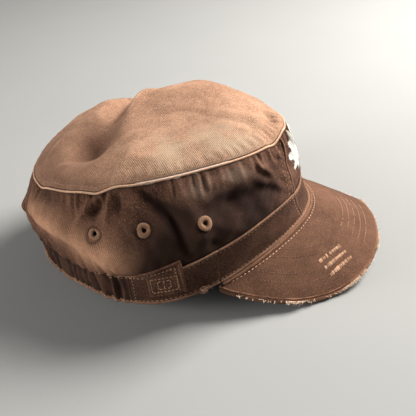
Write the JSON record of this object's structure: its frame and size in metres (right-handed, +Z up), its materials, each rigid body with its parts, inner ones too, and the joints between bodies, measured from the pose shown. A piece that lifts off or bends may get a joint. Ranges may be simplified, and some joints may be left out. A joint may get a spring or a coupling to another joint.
{
  "type": "military peaked cap",
  "caption": "Soft military peaked cap: round-topped cotton crown with worked eyelets, sewn band with a gathered back, and a stiffened curved peak that flexes.",
  "frame": {"origin": "on the table, under the middle of the cap's bounding box", "axes": "+X to the wearer's front (towards the peak), +Y to the wearer's left, +Z up from the table"},
  "size_m": [0.2704, 0.2014, 0.1124],
  "materials": {
    "crown_twill": "washed cotton twill, matte, sun-faded on the crown top",
    "band_twill": "washed cotton twill, matte, topstitched",
    "peak_twill": "washed cotton twill, matte, frayed along the edge",
    "sweatband_cloth": "soft cotton, matte",
    "lining_tape": "woven tape, matte",
    "stiffener": "buckram and knitted elastic, matte",
    "peak_board": "matte moulded sheet",
    "tan_thread": "satin-stitched thread, slight sheen",
    "white_thread": "worn satin-stitched thread",
    "label_cloth": "woven ribbon, blank"
  },
  "bodies": {
    "crown": {"crown_top": "crown_twill", "front_panel": "crown_twill", "side_panel_right": "crown_twill", "side_panel_left": "crown_twill", "band_front": "band_twill", "band_side_right": "band_twill", "band_side_left": "band_twill", "band_back": "band_twill", "side_tab_right": "band_twill", "side_tab_left": "band_twill", "sweatband": "sweatband_cloth", "tip_seam_tape": "lining_tape", "front_seam_tape_right": "lining_tape", "front_seam_tape_left": "lining_tape", "back_seam_tape": "lining_tape", "front_stiffener": "stiffener", "back_elastic": "stiffener", "eyelet_right_1": "tan_thread", "eyelet_right_2": "tan_thread", "eyelet_right_3": "tan_thread", "eyelet_left_1": "tan_thread", "eyelet_left_2": "tan_thread", "eyelet_left_3": "tan_thread", "front_emblem": "white_thread", "care_label": "label_cloth"},
    "peak": {"peak_cover": "peak_twill", "peak_lining": "peak_twill", "peak_piping": "peak_twill", "peak_board": "peak_board", "peak_bar_1": "tan_thread", "peak_bar_2": "tan_thread", "peak_bar_3": "tan_thread"}
  },
  "joints": [
    {"name": "peak_flex", "type": "hinge", "parent": "crown", "child": "peak", "pos_m": [0.0168, 0, 0.0387], "axis": [0, -1, 0], "range_deg": [-6, 8], "stiffness_Nm_per_rad": 1.5}
  ]
}
